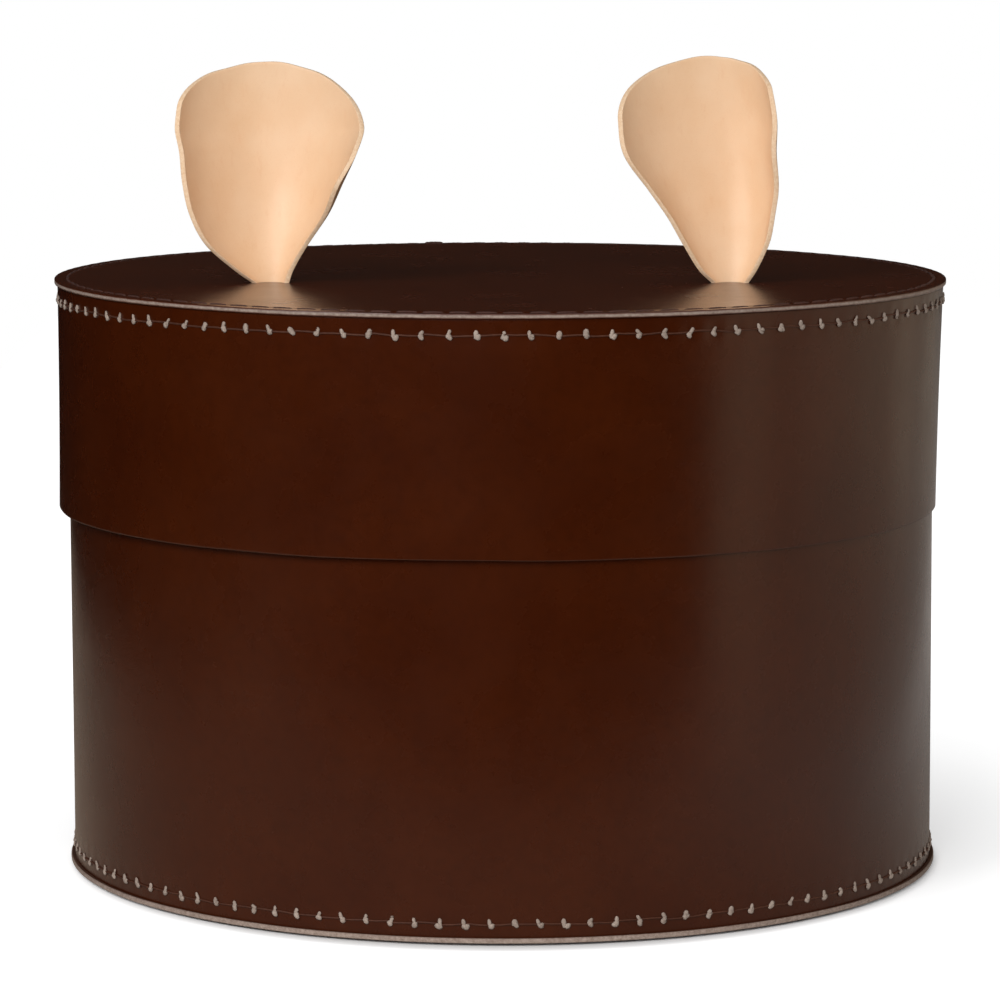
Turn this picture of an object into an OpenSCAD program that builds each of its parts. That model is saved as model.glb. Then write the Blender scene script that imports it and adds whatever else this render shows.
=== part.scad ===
// Round slip-lid box of stitched leather, with two curled ears on the lid.
// The origin is the centre of the underside, Z is up and the front faces -Y.

/* [Box] */
// Outer diameter of the base wall
base_d = 210; // [150:1:260]
// Height of the closed box, without the ears
box_h = 142.6; // [110:0.2:200]
// Depth of the lid, from its top face to its lower edge
lid_depth = 55.4; // [30:0.2:80]
// Gap between the lid wall and the base wall
lid_gap = 0.7; // [0.7:0.1:2]
// How far each disc stands out past its wall
disc_lip = 1.1; // [0.6:0.1:3]

/* [Leather] */
// Thickness of the two walls
wall_t = 1.2; // [1:0.1:2]
// Thickness of the top and bottom discs
disc_t = 1.2; // [1:0.1:2]
// Bevel on every cut edge of the box
edge_bevel = 0.2; // [0.1:0.05:0.3]
// Length of the skived lap where a wall's two ends meet
lap_len = 14; // [10:1:24]

/* [Corner seams] */
// Stitch length of the seam round the lid
lid_pitch = 6.05; // [4.5:0.05:9]
// Stitch length of the seam round the base
base_pitch = 5.7; // [4.5:0.05:9]
// Distance of the side stitches from the disc's outer face
seam_drop = 4.9; // [4:0.1:8]
// Distance of the disc stitches in from the wall's outer face
seam_in = 1.7; // [1.4:0.1:1.9]
// Depth of the channel that the underside stitches lie in
channel_depth = 0.5; // [0.45:0.05:0.6]
// Angle from the back at which the lid seam starts
lid_seam_start = 0.4; // [-3:0.1:3]

/* [Thread] */
// Thickness of the thread inside the leather
thread_d = 0.5; // [0.3:0.05:0.6]
// Radius of a stitch lying on the leather, and its height
stitch_r = 0.4; // [0.3:0.05:0.4]
// Space between one stitch and the next
stitch_space = 1; // [0.8:0.1:1.5]
// Height of a side knot
knot_len = 2.1; // [1.6:0.1:2.6]
// How far a side knot stands out of the wall, and half its width
knot_h = 0.8; // [0.5:0.05:0.9]
// Radius of the thin thread that links the side knots
link_r = 0.28; // [0.2:0.02:0.3]
// Stitch length of the closing seams at the back
back_pitch = 5.8; // [4.5:0.1:9]
// Distance of a closing seam from the middle of its lap
back_offset = 2.5; // [2:0.1:4]

/* [Ears] */
// Height of the right ear above the lid
ear_h = 53.6; // [40:0.2:70]
// Height of the left ear as a share of the right ear's
left_share = 0.975; // [0.9:0.01:1.1]
// Width of the right ear at its widest
ear_w = 38.8; // [30:0.2:48]
// Distance of each ear's stem from the middle of the lid
ear_x = 54.6; // [40:0.2:70]
// Distance of the stems in front of the middle
ear_y = 26; // [0:1:40]
// Thickness of the ears
ear_t = 1.2; // [1:0.1:1.6]
// Width of a stem where it goes through the lid
stem_w = 8.8; // [8:0.1:12]
// Clearance round a stem in its slit
slit_gap = 0.2; // [0.15:0.05:0.4]
// Thickness of the tab folded flat under the lid
tab_t = 0.8; // [0.6:0.1:1.2]
// Length of the folded tab
tab_len = 26; // [20:1:34]
// Width of the folded tab
tab_w = 14; // [12:1:18]
// Diameter of the patch over the tab
patch_d = 40; // [38:1:50]
// Thickness of the patch under the tab
patch_t = 1; // [0.8:0.1:1.6]

/* [Hidden] */

brown = "#3a1c12";
pale_thread = "#b4a091";
brown_thread = "#5a382c";
tan = "#e8bd93";

smooth = 180;
fine = 24;
cut = 0.05;           // how far a cutting solid runs past what it cuts
hole_gap = 0.05;      // clearance round a thread in its awl hole
lap_gap = 0.06;       // glue line of a skived lap
stem_curl = 80;       // half angle of a stem's curl
stem_flat = 0.4;      // length of stem that runs on inside the folded tab

base_r = base_d / 2;
lid_in_r = base_r + lid_gap;
lid_r = lid_in_r + wall_t;
top_in_z = box_h - disc_t;
skirt_z = box_h - lid_depth;
lid_count = round(2 * PI * lid_r / lid_pitch);
base_count = round(2 * PI * base_r / base_pitch);
seam_clear = seam_drop + knot_len;   // closing seams stay this far from a disc's outer face

// Side outline of a flat ring or disc section with bevelled corners
function bevelled(r0, r1, z0, z1, b) = [
    [r0 + b, z0], [r1 - b, z0], [r1, z0 + b], [r1, z1 - b],
    [r1 - b, z1], [r0 + b, z1], [r0, z1 - b], [r0, z0 + b]
];

// Side outline of a disc, bevelled at its rim only
function disc_outline(r, z0, z1, b) = [[0, z0], [r - b, z0], [r, z0 + b], [r, z1 - b], [r - b, z1], [0, z1]];

// Point of a smooth curve through rows [place, value, value, ...], column c, at place x
function row_at(rows, x, i = 0) = i >= len(rows) - 2 || x < rows[i + 1][0] ? i : row_at(rows, x, i + 1);
function slope(rows, i, c) =
    let (a = max(i - 1, 0), b = min(i + 1, len(rows) - 1))
    (rows[b][c] - rows[a][c]) / (rows[b][0] - rows[a][0]);
function curve(rows, x, c) =
    let (
        i = row_at(rows, x),
        w = rows[i + 1][0] - rows[i][0],
        s = min(1, max(0, (x - rows[i][0]) / w)),
        p = rows[i][c], q = rows[i + 1][c],
        m = slope(rows, i, c) * w, n = slope(rows, i + 1, c) * w
    )
    (2 * s * s * s - 3 * s * s + 1) * p + (s * s * s - 2 * s * s + s) * m
    + (3 * s * s - 2 * s * s * s) * q + (s * s * s - s * s) * n;

// A wall: one strip rolled to a ring, its two skived ends lapped at the back
module wall(r, z0, z1) {
    lean = (r - wall_t / 2) * wall_t / lap_len;
    lap_r = r - wall_t / 2;
    lap_y = lap_r - sqrt(lap_r * lap_r - lean * lean);
    difference() {
        rotate_extrude($fn = smooth) polygon(bevelled(r - wall_t, r, z0, z1, edge_bevel));
        intersection() {
            translate([lean, lap_y, z0 - cut]) difference() {
                cylinder(r = lap_r + lap_gap / 2, h = z1 - z0 + 2 * cut, $fn = smooth);
                translate([0, 0, -cut])
                    cylinder(r = lap_r - lap_gap / 2, h = z1 - z0 + 4 * cut, $fn = smooth);
            }
            translate([-lap_len, r - lap_len, z0 - cut]) cube([2 * lap_len, 2 * lap_len, z1 - z0 + 2 * cut]);
        }
    }
}

// Places of the stitches round a seam, from the back
module round_seam(count, start) {
    for (i = [0 : count - 1]) rotate(90 + start + (i + 0.5) * 360 / count) children();
}

// Thread leg from the disc's face at face_z to the side of the wall, pointing along +X
module leg(r, face_z, side_z, d, past) {
    run = side_z - face_z;
    lean = atan(seam_in / abs(run));
    length = sqrt(run * run + seam_in * seam_in);
    translate([r - seam_in, 0, face_z]) rotate([0, run > 0 ? lean : 180 - lean, 0])
        translate([0, 0, -past]) cylinder(d = d, h = length + 2 * past, $fn = fine);
}

// Half-round piece of thread lying on the plane z = 0, along +Y
module half_rod(r, length) {
    intersection() {
        rotate([-90, 0, 0]) cylinder(r = r, h = length, $fn = fine);
        translate([-2 * r, 0, 0]) cube([4 * r, length, 2 * r]);
    }
}

// One corner stitch: a dash on the disc, a leg through the leather and a knot on the wall
module corner_stitch(r, face_z, side_z, pitch) {
    translate([r - seam_in, -stitch_r, face_z]) mirror([0, 0, side_z > face_z ? 1 : 0])
        half_rod(stitch_r, pitch - stitch_space);
    leg(r, face_z, side_z, thread_d, thread_d / 3);
    translate([r, 0, side_z - knot_len / 2]) rotate([90, 0, 90]) half_rod(knot_h, knot_len);
}

// The thin thread on the wall, from each knot to the next
module link_threads(r, z, count, start) {
    knot_angle = 2 * (knot_h + hole_gap) / r * 180 / PI;
    rotate(start + knot_angle / 2) round_seam(count, 0)
        translate([0, 0, z]) rotate_extrude(angle = 360 / count - knot_angle, $fn = smooth) intersection() {
            translate([r, 0]) circle(r = link_r, $fn = fine);
            translate([r, -link_r]) square(2 * link_r);
        }
}

// Heights of the stitches of a closing seam between two heights
function seam_heights(z0, z1) =
    let (count = floor((z1 - z0) / back_pitch))
    [for (i = [0 : count - 1]) z0 + i * back_pitch];

// Distance from the axis to the chord that a stitch makes inside a wall
function wall_chord(r) = sqrt(r * r - stitch_r * stitch_r);

// One stitch of a closing seam: a dash outside, a dash inside and a leg between them
module closing_stitch(r, z) {
    length = back_pitch - stitch_space;
    translate([0, r, z - stitch_r]) rotate([90, 0, 180]) half_rod(stitch_r, length);
    translate([0, wall_chord(r - wall_t), z - stitch_r]) rotate([90, 0, 0]) half_rod(stitch_r, length);
    closing_leg(r, z, thread_d, thread_d / 3);
}

module closing_leg(r, z, d, past) {
    translate([0, r + past, z]) rotate([90, 0, 0]) cylinder(d = d, h = wall_t + 2 * past, $fn = fine);
}

// Turns what stands at the back to a closing seam that lies off the lap's middle
module beside_lap(r, side) {
    rotate(-side * back_offset / r * 180 / PI) children();
}

// Ear shape, for the right ear; inner is towards the middle of the lid.
// Rows: share of the height, inner reach, outer reach, spine place, spine depth (in shares of the
// ear's width), inner curl and outer curl (half angles in degrees)
right_rows = [
    [0,    0,     0,     0,     0,     stem_curl, stem_curl],
    [0.06, 0.085, 0.052, 0,     0.01,  82, 82],
    [0.18, 0.19,  0.127, 0,     0.04,  84, 84],
    [0.30, 0.275, 0.17,  -0.01, 0.07,  84, 86],
    [0.42, 0.38,  0.2,   -0.02, 0.10,  80, 90],
    [0.58, 0.515, 0.205, -0.04, 0.12,  74, 102],
    [0.74, 0.53,  0.225, -0.06, 0.13,  66, 96],
    [1,    0.53,  0.19,  -0.09, 0.12,  56, 70]
];
left_rows = [
    [0,    0,     0,     0,    0,     stem_curl, stem_curl],
    [0.06, 0.03,  0.103, 0,    0.01,  84, 82],
    [0.18, 0.137, 0.264, 0.01, 0.04,  88, 82],
    [0.32, 0.265, 0.364, 0.01, 0.08,  98, 80],
    [0.46, 0.355, 0.405, 0.01, 0.11,  104, 78],
    [0.60, 0.445, 0.42,  0.01, 0.13,  90, 76],
    [0.72, 0.49,  0.445, 0.01, 0.14,  70, 72],
    [1,    0.45,  0.4,   0,    0.14,  54, 62]
];
// Top edge of an ear: height of its inner corner, of its outer corner and how full each shoulder is
right_top = [0.74, 0.87, 0.7, 0.75];
left_top = [0.7, 0.81, 0.72, 0.6];
ear_columns = 24;
ear_levels = 22;

// Height of the top edge over column u, from -1 at the inner edge to 1 at the outer edge
function top_edge(top, u) =
    let (corner = u < 0 ? top[0] : top[1], full = u < 0 ? top[2] : top[3])
    corner + (1 - corner) * pow(max(0, 1 - u * u), full);

// Point of an ear at column u and height share s; out is 0 on the cupped face, 1 on the back
function ear_point(rows, height, u, s, out) =
    let (
        reach = stem_w / 2 + ear_w * curve(rows, s, u < 0 ? 1 : 2),
        curl = curve(rows, s, u < 0 ? 5 : 6),
        r = reach / sin(min(curl, 90)) - ear_t,
        a = u * curl,
        grow = r + out * ear_t
    )
    [
        ear_w * curve(rows, s, 3) + grow * sin(a),
        ear_w * curve(rows, s, 4) + stem_back + grow * cos(a) - r,
        s * height
    ];
stem_back = stem_w / 2 / sin(stem_curl) - ear_t;

// The curled leather of an ear, from the tab under the lid to its rounded top
module ear_shell(rows, top, height) {
    low = -disc_t - tab_t + stem_flat;
    columns = ear_columns + 1;
    levels = ear_levels + 2;
    end = ear_columns;
    face_points = columns * levels;
    points = [
        for (out = [0, 1], j = [0 : levels - 1], i = [0 : ear_columns])
            let (u = 2 * i / ear_columns - 1)
            j == 0 ? ear_point(rows, height, u, 0, out) + [0, 0, low]
            : ear_point(rows, height, u, (j - 1) / ear_levels * top_edge(top, u), out)
    ];
    function at(out, j, i) = out * face_points + j * columns + i;
    quads = concat(
        [for (j = [0 : levels - 2], i = [0 : ear_columns - 1])
            [at(0, j, i), at(0, j, i + 1), at(0, j + 1, i + 1), at(0, j + 1, i)]],
        [for (j = [0 : levels - 2], i = [0 : ear_columns - 1])
            [at(1, j + 1, i), at(1, j + 1, i + 1), at(1, j, i + 1), at(1, j, i)]],
        [for (j = [0 : levels - 2]) [at(0, j + 1, 0), at(1, j + 1, 0), at(1, j, 0), at(0, j, 0)]],
        [for (j = [0 : levels - 2])
            [at(0, j, end), at(1, j, end), at(1, j + 1, end), at(0, j + 1, end)]],
        [for (i = [0 : ear_columns - 1]) [at(1, 0, i), at(1, 0, i + 1), at(0, 0, i + 1), at(0, 0, i)]],
        [for (i = [0 : ear_columns - 1])
            [at(0, levels - 1, i), at(0, levels - 1, i + 1), at(1, levels - 1, i + 1), at(1, levels - 1, i)]]
    );
    triangles = [for (q = quads) each [[q[2], q[1], q[0]], [q[3], q[2], q[0]]]];
    polyhedron(points, triangles);
}

// Flat stadium, grown all round by more
module tab_outline(more) {
    square([tab_len - tab_w, tab_w + 2 * more], center = true);
    for (x = [-1, 1]) translate([x * (tab_len - tab_w) / 2, 0]) circle(d = tab_w + 2 * more, $fn = fine);
}

module ear(side, rows, top, height) {
    color(tan) translate([side * ear_x, -ear_y, box_h]) {
        mirror([side < 0 ? 1 : 0, 0, 0]) ear_shell(rows, top, height);
        translate([0, 0, -disc_t - tab_t]) linear_extrude(tab_t) tab_outline(0);
    }
}

// Curved slit in the lid for a stem
module slit(side) {
    spread = stem_curl + slit_gap / stem_back * 180 / PI;
    reach = 2 * stem_w;
    wedge = [[0, 0], for (a = [-spread, -spread / 3, spread / 3, spread]) reach * [sin(a), cos(a)]];
    translate([side * ear_x, -ear_y, top_in_z - cut]) linear_extrude(disc_t + 2 * cut) intersection() {
        difference() {
            circle(r = stem_back + ear_t + slit_gap, $fn = 2 * fine);
            circle(r = stem_back - slit_gap, $fn = 2 * fine);
        }
        polygon(wedge);
    }
}

module ear_patch(side) {
    color(brown) translate([side * ear_x, -ear_y, top_in_z - tab_t - patch_t]) difference() {
        rotate_extrude($fn = smooth) polygon(disc_outline(patch_d / 2, 0, tab_t + patch_t, edge_bevel));
        translate([0, 0, patch_t]) linear_extrude(tab_t + cut) tab_outline(slit_gap);
    }
}

module base_wall() {
    color(brown) difference() {
        wall(base_r, disc_t, top_in_z);
        round_seam(base_count, 0) leg(base_r, channel_depth, seam_drop, thread_d + 2 * hole_gap, cut);
        beside_lap(base_r, -1) for (z = seam_heights(seam_clear, top_in_z - seam_clear))
            closing_leg(base_r, z, thread_d + 2 * hole_gap, cut);
    }
}

module base_disc() {
    color(brown) difference() {
        rotate_extrude($fn = smooth) polygon(disc_outline(base_r + disc_lip, 0, disc_t, edge_bevel));
        translate([0, 0, -cut]) difference() {
            cylinder(r = base_r - seam_in + 1.5 * stitch_r, h = channel_depth + cut, $fn = smooth);
            translate([0, 0, -cut])
                cylinder(r = base_r - seam_in - 1.5 * stitch_r, h = channel_depth + 3 * cut, $fn = smooth);
        }
        round_seam(base_count, 0) leg(base_r, channel_depth, seam_drop, thread_d + 2 * hole_gap, cut);
    }
}

module base_seam_stitches() {
    color(pale_thread) round_seam(base_count, 0)
        corner_stitch(base_r, channel_depth, seam_drop, 2 * PI * base_r / base_count);
}

module base_seam_side_thread() {
    color(brown_thread) link_threads(base_r, seam_drop, base_count, 0);
}

module base_closing_stitches() {
    color(brown_thread) beside_lap(base_r, -1) for (z = seam_heights(seam_clear, top_in_z - seam_clear))
        closing_stitch(base_r, z);
}

module lid_wall() {
    color(brown) difference() {
        wall(lid_r, skirt_z, top_in_z);
        round_seam(lid_count, lid_seam_start)
            leg(lid_r, box_h, box_h - seam_drop, thread_d + 2 * hole_gap, cut);
        beside_lap(lid_r, 1) for (z = seam_heights(skirt_z + seam_drop, box_h - seam_clear))
            closing_leg(lid_r, z, thread_d + 2 * hole_gap, cut);
    }
}

module lid_disc() {
    color(brown) difference() {
        rotate_extrude($fn = smooth) polygon(disc_outline(lid_r + disc_lip, top_in_z, box_h, edge_bevel));
        round_seam(lid_count, lid_seam_start)
            leg(lid_r, box_h, box_h - seam_drop, thread_d + 2 * hole_gap, cut);
        for (side = [-1, 1]) slit(side);
    }
}

module lid_seam_stitches() {
    color(pale_thread) round_seam(lid_count, lid_seam_start)
        corner_stitch(lid_r, box_h, box_h - seam_drop, 2 * PI * lid_r / lid_count);
}

module lid_seam_side_thread() {
    color(brown_thread) link_threads(lid_r, box_h - seam_drop, lid_count, lid_seam_start);
}

module lid_closing_stitches() {
    color(brown_thread) beside_lap(lid_r, 1) for (z = seam_heights(skirt_z + seam_drop, box_h - seam_clear))
        closing_stitch(lid_r, z);
}

base_wall();
base_disc();
base_seam_stitches();
base_seam_side_thread();
base_closing_stitches();
lid_wall();
lid_disc();
lid_seam_stitches();
lid_seam_side_thread();
lid_closing_stitches();
ear(-1, left_rows, left_top, ear_h * left_share);  // ear_left
ear(1, right_rows, right_top, ear_h);  // ear_right
ear_patch(-1);  // ear_patch_left
ear_patch(1);  // ear_patch_right
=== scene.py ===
# Looks of a round slip-lid box of stitched brown leather, with curled tan leather ears on its lid.
# Metres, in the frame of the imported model: origin under the base, Z up, front towards -Y.
import math
import bpy
import numpy as np
from mathutils import Matrix, Vector

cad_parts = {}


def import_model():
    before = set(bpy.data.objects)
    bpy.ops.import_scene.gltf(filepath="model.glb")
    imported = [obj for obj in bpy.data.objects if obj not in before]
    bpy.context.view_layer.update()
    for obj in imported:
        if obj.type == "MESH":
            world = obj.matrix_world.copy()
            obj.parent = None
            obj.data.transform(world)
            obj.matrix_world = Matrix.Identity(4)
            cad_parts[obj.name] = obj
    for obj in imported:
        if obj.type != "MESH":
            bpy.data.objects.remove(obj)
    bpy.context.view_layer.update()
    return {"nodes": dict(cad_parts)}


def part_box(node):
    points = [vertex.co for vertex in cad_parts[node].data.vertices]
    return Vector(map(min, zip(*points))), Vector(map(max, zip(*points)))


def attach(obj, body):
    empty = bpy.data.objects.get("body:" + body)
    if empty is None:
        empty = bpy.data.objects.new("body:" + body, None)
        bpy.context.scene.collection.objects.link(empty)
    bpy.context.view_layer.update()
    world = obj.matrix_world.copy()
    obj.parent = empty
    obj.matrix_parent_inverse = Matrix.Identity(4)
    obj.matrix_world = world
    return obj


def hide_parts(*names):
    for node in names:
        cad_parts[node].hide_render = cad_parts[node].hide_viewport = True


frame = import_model()

MM = 0.001
TURN = 2 * math.pi
rng = np.random.default_rng(7)

# Sizes read from the frame
_, base_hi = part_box("base_wall")
lid_lo, lid_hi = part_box("lid_wall")
_, floor_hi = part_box("base_disc")
top_lo, top_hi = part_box("lid_disc")
BASE_R = base_hi[0]
LID_R = lid_hi[0]
BASE_DISC_R = floor_hi[0]
LID_DISC_R = top_hi[0]
FLOOR_T = floor_hi[2]
TOP_IN = top_lo[2]
BOX_H = top_hi[2]
SKIRT_Z = lid_lo[2]

# Sizes that repeat the construction's own
WALL_T = 1.2 * MM
SEAM_DROP = 4.9 * MM
SEAM_IN = 1.7 * MM
CHANNEL = 0.5 * MM
LID_PITCH = 6.05 * MM
BASE_PITCH = 5.7 * MM
LID_SEAM_START = 0.4
STITCH_R = 0.4 * MM
STITCH_SPACE = 1.0 * MM
LAP_LEN = 14 * MM
BACK_PITCH = 5.8 * MM
BACK_OFFSET = 2.5 * MM
LID_COUNT = round(TURN * LID_R / LID_PITCH)
BASE_COUNT = round(TURN * BASE_R / BASE_PITCH)

# Sizes that follow the photograph, not the construction: edge round, lid's dash ring, knots
EDGE_R = 0.28 * MM
RING_IN = 2.1 * MM
KNOT_LEN = 2.5 * MM

# Camera, from the photograph
FOCAL_PX = 4620
CAMERA_BACK = 1.1208
CAMERA_UP = 0.2326
CAMERA_SIDE = -0.0001
CAMERA_PITCH = 7.387
SENSOR = 36.0
FRAME_PX = 1000

# Colours: the two ends of a mottled surface, or the one tone of a detail
WALL_FACE, WALL_GRAIN = ("#351001", "#3d1502"), "#290b01"
# The lid top's tones are the wall's made about a third lighter: painted light that brightens the lid's
# top in place of lamp light.
TOP_FACE_PAINTED_LIGHT, TOP_GRAIN_PAINTED_LIGHT = ("#3e1401", "#471a03"), "#300f01"
BROWN_FLESH = ("#2f1a10", "#543424")
BROWN_CUT = ("#7a675d", "#a79589")
TAN_FACE, TAN_VEIN, TAN_PORE = ("#eec49b", "#f2cda8"), "#e2a877", "#d69c6c"
TAN_FLESH = ("#b98b62", "#d6a97e")
TAN_CUT = ("#e4bd95", "#f4d6b6")
KNOT_TONES = ("#74645a", "#b4a396")
STITCH_TONES = ("#2a1611", "#4c2f27")
LINK_TONES = ("#32180f", "#55301f")

# Noise textures: features per metre, detail and roughness
BROWN_MOTTLE, BROWN_GRAIN = (38, 5, 0.6), (420, 3, 0.6)
BROWN_FIBRE, BROWN_NAP, BROWN_CUT_FIBRE = (900, 4, 0.7), (55, 4, 0.6), (1300, 3, 0.7)
BROWN_GLOSS, BROWN_FINE, BROWN_CREASE = (60, 5, 0.6), (1000, 4, 0.65), (110, 3, 0.5)
TAN_MOTTLE, TAN_VEINS = (70, 5, 0.6), (300, 6, 0.7)
TAN_FIBRE, TAN_CUT_FIBRE = (1100, 4, 0.7), (1500, 3, 0.7)
TAN_GLOSS, TAN_CREASE = (90, 4, 0.6), (160, 3, 0.5)
THREAD_STREAK, THREAD_PATCH = (2500, 4, 0.7), (220, 3, 0.6)
VEIN_STRETCH = (1.6, 1.6, 0.5)
SKIN_CELLS, TAN_PORE_CELLS = 1500, 1900

# Ramps from a noise value to an amount
NOISE_LOW, NOISE_HIGH, NAP_HIGH = 0.3, 0.7, 0.72
GRAIN_AMOUNT = ((0.45, 0.0), (0.8, 0.35))
SKIN_RELIEF = ((0.0, 0.0), (0.45, 1.0))
VEIN_AMOUNT = ((0.56, 0.0), (0.8, 0.3))
PORE_SPOTS = ((0.0, 1.0), (0.25, 0.0))
PORE_AMOUNT = 0.25
# Share of the second texture where two are blended
NAP_SHARE, FINE_SHARE, FIBRE_SHARE, PATCH_SHARE = 0.5, 0.6, 0.5, 0.45

# Roughness, index of refraction, and relief as distance and strength
WALL_ROUGH, WALL_IOR, WALL_RELIEF = (0.25, 0.3), 1.35, 1.0
TOP_ROUGH, TOP_IOR, TOP_RELIEF = (0.23, 0.28), 1.5, 0.5
FLESH_ROUGH, CUT_ROUGH = 0.85, 0.8
TAN_ROUGH, TAN_RAW_ROUGH, TAN_IOR = (0.42, 0.52), 0.9, 1.6
KNOT_ROUGH, STITCH_ROUGH, THREAD_IOR = (0.7, 0.8), (0.6, 0.7), 1.4
BROWN_FINE_BUMP, BROWN_CREASE_BUMP = (0.035 * MM, 0.5), (0.12 * MM, 0.5)
TAN_FINE_BUMP, TAN_CREASE_BUMP = (0.03 * MM, 0.5), (0.1 * MM, 0.4)
THREAD_BUMP = (0.03 * MM, 0.6)


def linear(hex_colour):
    """Scene-linear colour of an sRGB hex string."""
    parts = [int(hex_colour[i:i + 2], 16) / 255 for i in (1, 3, 5)]
    return tuple(c / 12.92 if c <= 0.04045 else ((c + 0.055) / 1.055) ** 2.4 for c in parts) + (1.0,)


# Material building
class Nodes:
    """Short calls for building one material's nodes."""

    def __init__(self, name):
        self.material = bpy.data.materials.new(name)
        self.material.use_nodes = True
        self.tree = self.material.node_tree
        self.shader = self.tree.nodes["Principled BSDF"]
        self.output = self.tree.nodes["Material Output"]
        coords = self.tree.nodes.new("ShaderNodeTexCoord")
        self.place = coords.outputs["Object"]

    def node(self, kind, **values):
        n = self.tree.nodes.new(kind)
        for name, value in values.items():
            n.inputs[name].default_value = value
        return n

    def link(self, a, b):
        self.tree.links.new(a, b)

    def stretched(self, scale, shift=(0, 0, 0)):
        n = self.node("ShaderNodeMapping", Scale=scale, Location=shift)
        self.link(self.place, n.inputs["Vector"])
        return n.outputs[0]

    def noise(self, texture, place=None):
        scale, detail, rough = texture
        n = self.node("ShaderNodeTexNoise", Scale=scale, Detail=detail, Roughness=rough)
        self.link(place or self.place, n.inputs["Vector"])
        return n.outputs["Fac"]

    def cells(self, scale):
        n = self.node("ShaderNodeTexVoronoi", Scale=scale)
        self.link(self.place, n.inputs["Vector"])
        return n.outputs["Distance"]

    def ramp(self, value, stops):
        n = self.node("ShaderNodeValToRGB")
        band = n.color_ramp
        while len(band.elements) < len(stops):
            band.elements.new(0.5)
        for element, (at, colour) in zip(band.elements, stops):
            element.position = at
            element.color = colour if not isinstance(colour, float) else (colour, colour, colour, 1)
        self.link(value, n.inputs["Fac"])
        return n.outputs["Color"]

    def span(self, value, ends, high=NOISE_HIGH):
        return self.ramp(value, ((NOISE_LOW, ends[0]), (high, ends[1])))

    def tones(self, value, ends, high=NOISE_HIGH):
        return self.span(value, [linear(tone) for tone in ends], high)

    def mix(self, a, b, amount):
        n = self.node("ShaderNodeMix")
        n.data_type = "RGBA"
        for value, name in ((amount, "Factor"), (a, "A"), (b, "B")):
            socket = next(s for s in n.inputs if s.name == name and s.enabled)
            if isinstance(value, bpy.types.NodeSocket):
                self.link(value, socket)
            elif name != "Factor" and isinstance(value, float):
                socket.default_value = (value, value, value, 1)
            else:
                socket.default_value = value
        return next(s for s in n.outputs if s.enabled)

    def math(self, operation, a, b):
        n = self.node("ShaderNodeMath")
        n.operation = operation
        self.link(a, n.inputs[0])
        if isinstance(b, float):
            n.inputs[1].default_value = b
        else:
            self.link(b, n.inputs[1])
        return n.outputs[0]

    def attribute(self, name):
        n = self.node("ShaderNodeAttribute")
        n.attribute_name = name
        return n.outputs["Fac"]

    def bump(self, height, relief, share=1.0, normal=None):
        distance, strength = relief
        n = self.node("ShaderNodeBump", Strength=strength, Distance=distance * share)
        self.link(height, n.inputs["Height"])
        if normal is not None:
            self.link(normal, n.inputs["Normal"])
        return n.outputs[0]

    def finish(self, colour, roughness, normal, ior):
        for value, name in ((colour, "Base Color"), (roughness, "Roughness"), (normal, "Normal")):
            self.link(value, self.shader.inputs[name])
        self.shader.inputs["IOR"].default_value = ior
        return self.material


def brown_leather(name, face_tones, grain_tone, gloss, ior, relief_share):
    """Smooth dyed cowhide: fine grain, soft mottling, undyed cut edges and a matt flesh side."""
    n = Nodes(name)
    raw, flesh = n.attribute("raw"), n.attribute("flesh")
    grain = n.ramp(n.noise(BROWN_GRAIN), GRAIN_AMOUNT)
    face = n.mix(n.tones(n.noise(BROWN_MOTTLE), face_tones), linear(grain_tone), grain)
    fibre = n.noise(BROWN_FIBRE)
    suede = n.tones(n.mix(fibre, n.noise(BROWN_NAP), NAP_SHARE), BROWN_FLESH, NAP_HIGH)
    cut = n.tones(n.noise(BROWN_CUT_FIBRE), BROWN_CUT)
    colour = n.mix(n.mix(face, suede, flesh), cut, raw)
    rough = n.mix(n.span(n.noise(BROWN_GLOSS), gloss), FLESH_ROUGH, flesh)
    rough = n.mix(rough, CUT_ROUGH, raw)
    pores = n.ramp(n.cells(SKIN_CELLS), SKIN_RELIEF)
    relief = n.mix(n.mix(pores, n.noise(BROWN_FINE), FINE_SHARE), fibre, flesh)
    fine = n.bump(relief, BROWN_FINE_BUMP, relief_share)
    broad = n.bump(n.noise(BROWN_CREASE), BROWN_CREASE_BUMP, relief_share, fine)
    return n.finish(colour, rough, broad, ior)


def tan_leather():
    """Undyed vegetable-tanned leather: pale, faintly veined, with fibrous cut edges."""
    n = Nodes("natural_leather")
    raw, flesh = n.attribute("raw"), n.attribute("flesh")
    veins = n.ramp(n.noise(TAN_VEINS, n.stretched(VEIN_STRETCH)), VEIN_AMOUNT)
    face = n.mix(n.tones(n.noise(TAN_MOTTLE), TAN_FACE), linear(TAN_VEIN), veins)
    pores = n.ramp(n.cells(TAN_PORE_CELLS), PORE_SPOTS)
    face = n.mix(face, linear(TAN_PORE), n.mix((0, 0, 0, 1), pores, PORE_AMOUNT))
    fibre = n.noise(TAN_FIBRE)
    suede = n.tones(fibre, TAN_FLESH)
    cut = n.tones(n.noise(TAN_CUT_FIBRE), TAN_CUT)
    colour = n.mix(n.mix(face, suede, flesh), cut, raw)
    matt = n.math("MAXIMUM", raw, flesh)
    rough = n.mix(n.span(n.noise(TAN_GLOSS), TAN_ROUGH), TAN_RAW_ROUGH, matt)
    fine = n.bump(n.mix(n.cells(SKIN_CELLS), fibre, FIBRE_SHARE), TAN_FINE_BUMP)
    broad = n.bump(n.noise(TAN_CREASE), TAN_CREASE_BUMP, normal=fine)
    return n.finish(colour, rough, broad, TAN_IOR)


def thread(name, ends, rough_ends):
    """Waxed thread: streaks along the plies and a slightly fuzzy face."""
    n = Nodes(name)
    streak = n.noise(THREAD_STREAK)
    colour = n.tones(n.mix(streak, n.noise(THREAD_PATCH), PATCH_SHARE), ends)
    return n.finish(colour, n.span(streak, rough_ends), n.bump(streak, THREAD_BUMP), THREAD_IOR)


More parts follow.
